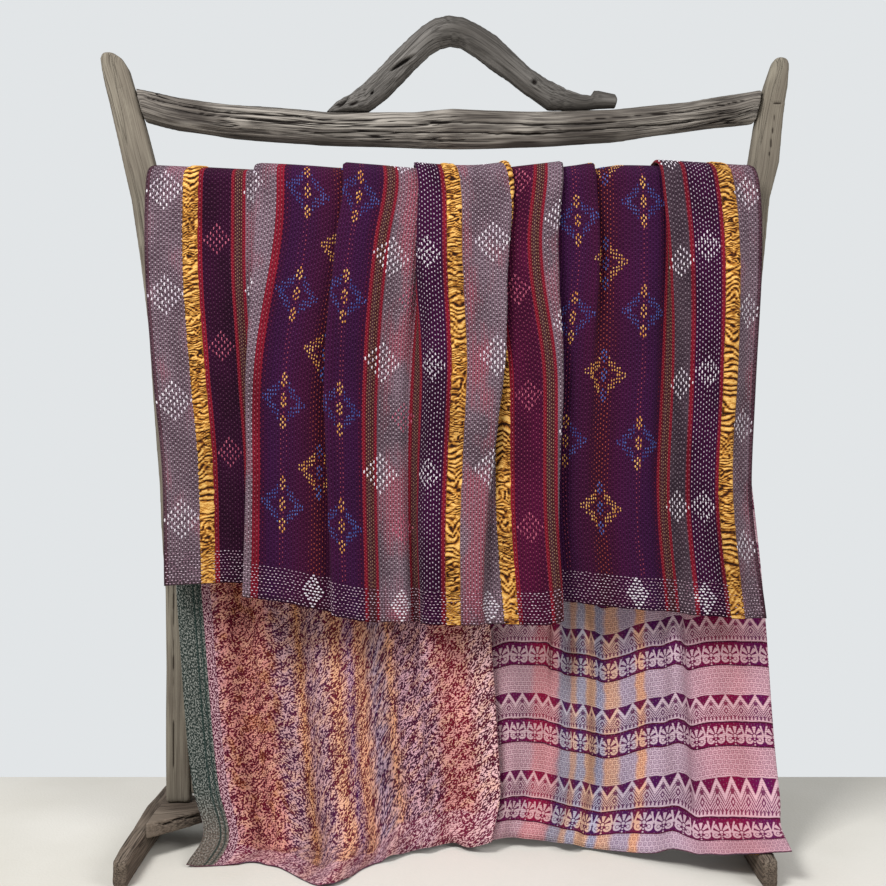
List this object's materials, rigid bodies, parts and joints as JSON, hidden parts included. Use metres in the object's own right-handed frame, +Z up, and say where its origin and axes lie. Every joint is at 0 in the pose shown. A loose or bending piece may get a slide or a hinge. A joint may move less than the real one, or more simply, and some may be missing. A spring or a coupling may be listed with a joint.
{
  "type": "kantha quilt on a driftwood quilt rack",
  "caption": "Double-sided striped cotton quilt with running stitch, folded over the rail of a free-standing driftwood rack so that a short flap hangs in front of a long one.",
  "frame": {"origin": "on the floor, under the middle of the rack", "axes": "+X to the right along the rail, +Y to the back, +Z up; the short flap and the rack face -Y"},
  "size_m": [1.338, 0.524, 1.597],
  "materials": {
    "quilt": "woven",
    "post_left": "weathered",
    "post_right": "weathered",
    "yoke": "weathered",
    "handle_branch": "weathered",
    "rail": "weathered",
    "cleat_left": "weathered",
    "cleat_right": "weathered",
    "stretcher": "weathered",
    "foot_left": "weathered",
    "foot_right": "weathered",
    "doubler_left": "weathered",
    "doubler_right": "weathered"
  },
  "bodies": {
    "root": {"quilt": "quilt", "post_left": "post_left", "post_right": "post_right", "yoke": "yoke", "handle_branch": "handle_branch", "rail": "rail", "cleat_left": "cleat_left", "cleat_right": "cleat_right", "stretcher": "stretcher", "foot_left": "foot_left", "foot_right": "foot_right", "doubler_left": "doubler_left", "doubler_right": "doubler_right"}
  },
  "joints": []
}
